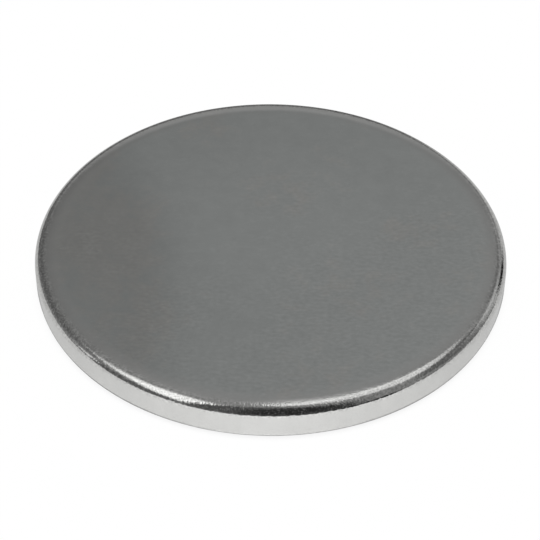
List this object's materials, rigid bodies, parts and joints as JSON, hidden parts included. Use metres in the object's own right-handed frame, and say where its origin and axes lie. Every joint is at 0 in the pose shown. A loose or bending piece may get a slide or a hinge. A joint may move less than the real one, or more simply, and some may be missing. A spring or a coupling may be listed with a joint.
{
  "type": "disc magnet",
  "caption": "Flat round permanent magnet: a thin plated metal disc with flat pole faces, rounded rims and a satin to mirror-bright grey finish.",
  "frame": {"origin": "centre of the lower pole face, where the magnet rests", "axes": "+Z along the disc's axis, from the lower pole face to the upper one; X and Y lie in the lower pole face"},
  "size_m": [0.06, 0.06, 0.005],
  "materials": {
    "nickel_plate": "nickel plate, satin with a fine grain on the ground pole faces and mirror bright on the tumbled rim"
  },
  "bodies": {
    "root": {"disc_magnet": "nickel_plate"}
  },
  "joints": []
}
